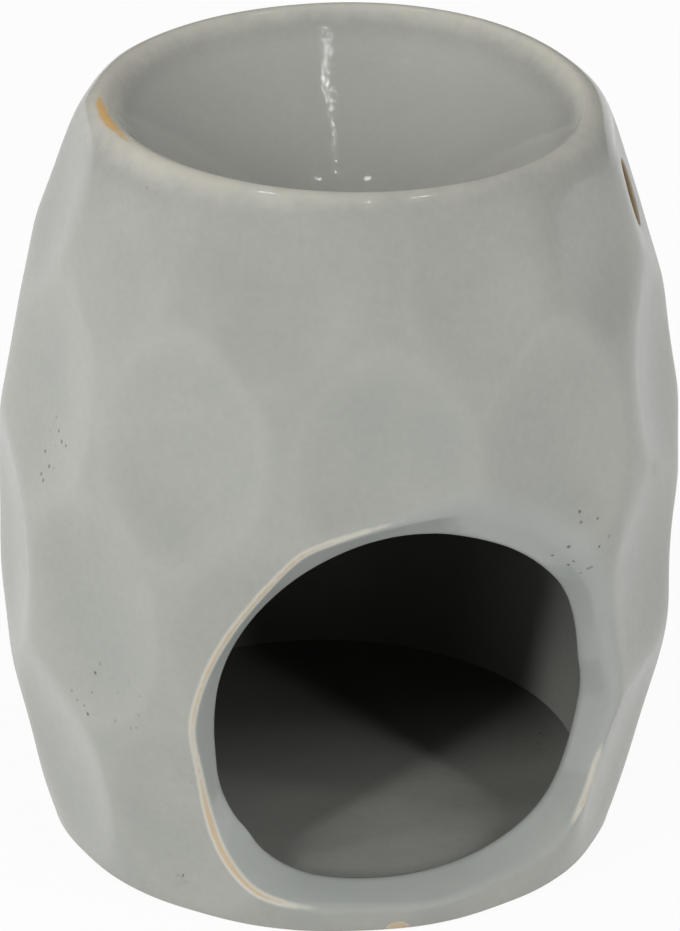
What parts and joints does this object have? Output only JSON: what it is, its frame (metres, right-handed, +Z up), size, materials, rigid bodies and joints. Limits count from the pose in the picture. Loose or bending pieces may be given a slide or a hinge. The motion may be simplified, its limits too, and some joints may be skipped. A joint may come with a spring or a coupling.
{
  "type": "essential oil burner",
  "caption": "Hammered ceramic barrel with an oil bowl in its top, a hand-cut candle window low in front and vents near the lip, for warming scented oil over a tealight.",
  "frame": {"origin": "centre of the foot, on the surface that it stands on", "axes": "+Z up along the barrel's axis; the candle window faces -Y; +X to the right of someone who looks into the window"},
  "size_m": [0.0962, 0.0949, 0.1102],
  "materials": {
    "wall_glaze": "glossy grey glaze with dark pinholes, breaking to tan on arrises",
    "bowl_glaze": "glossy grey glaze, breaking to tan on the lip",
    "floor_glaze": "glossy grey glaze above, bare clay below"
  },
  "bodies": {
    "root": {"barrel_wall": "wall_glaze", "oil_bowl": "bowl_glaze", "chamber_floor": "floor_glaze"}
  },
  "joints": []
}
